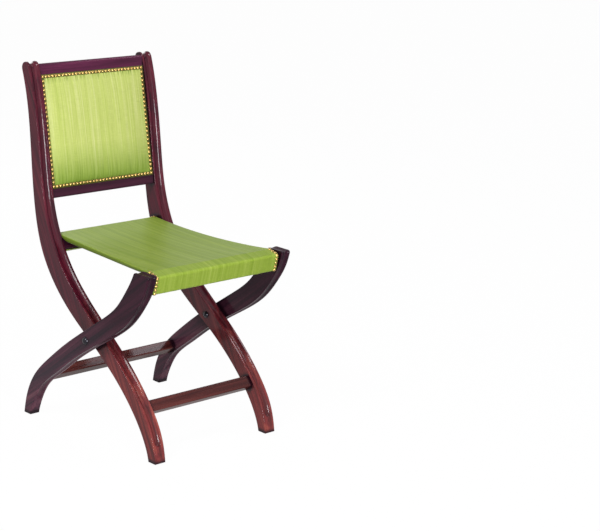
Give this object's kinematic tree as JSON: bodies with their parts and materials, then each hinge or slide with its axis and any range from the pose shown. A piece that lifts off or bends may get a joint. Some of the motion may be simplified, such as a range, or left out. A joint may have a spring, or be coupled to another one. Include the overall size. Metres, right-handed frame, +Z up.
{
  "type": "folding x-frame chair",
  "caption": "Folding side chair with S-curved crossing wooden members, a cloth sling seat and a padded cloth back with a nailed border.",
  "frame": {"origin": "middle of the footprint of the whole chair, on the floor", "axes": "+Z up, -Y towards the front of the seat, +X to the right when seen from the front"},
  "size_m": [0.478, 0.5728, 0.9301],
  "materials": {
    "frame_wood": "dark red-brown stain, rubbed satin polish",
    "rail_wood": "darker red-brown stain, rubbed satin polish",
    "board_wood": "plain raw board, hidden",
    "stuffing": "felted hair stuffing, hidden",
    "back_silk": "plain woven yellow-green silk with a soft sheen",
    "seat_silk": "plain woven yellow-green silk with a soft sheen",
    "nail_brass": "domed and polished",
    "pivot_steel": "domed, smooth"
  },
  "bodies": {
    "back_frame": {"back_post_left": "frame_wood", "back_post_right": "frame_wood", "crest_rail": "rail_wood", "lower_back_rail": "rail_wood", "rear_seat_rail": "rail_wood", "front_stretcher": "rail_wood", "back_board": "board_wood", "back_pad": "stuffing", "back_cover": "back_silk", "back_nails": "nail_brass", "back_outside_cover": "back_silk", "back_outside_nails": "nail_brass", "rear_seat_nails": "nail_brass", "seat_sling": "seat_silk", "pivot_washer_left": "pivot_steel", "pivot_washer_right": "pivot_steel"},
    "front_frame": {"cross_leg_left": "frame_wood", "cross_leg_right": "frame_wood", "front_seat_rail": "rail_wood", "rear_stretcher": "rail_wood", "front_seat_nails": "nail_brass", "pivot_bolt_left": "pivot_steel", "pivot_bolt_right": "pivot_steel", "pivot_nut_left": "pivot_steel", "pivot_nut_right": "pivot_steel"}
  },
  "joints": [
    {"name": "fold", "type": "hinge", "parent": "back_frame", "child": "front_frame", "pos_m": [0, -0.0373, 0.26505], "axis": [-1, 0, 0], "range_deg": [0, 76], "deforming": ["seat_sling"]}
  ]
}
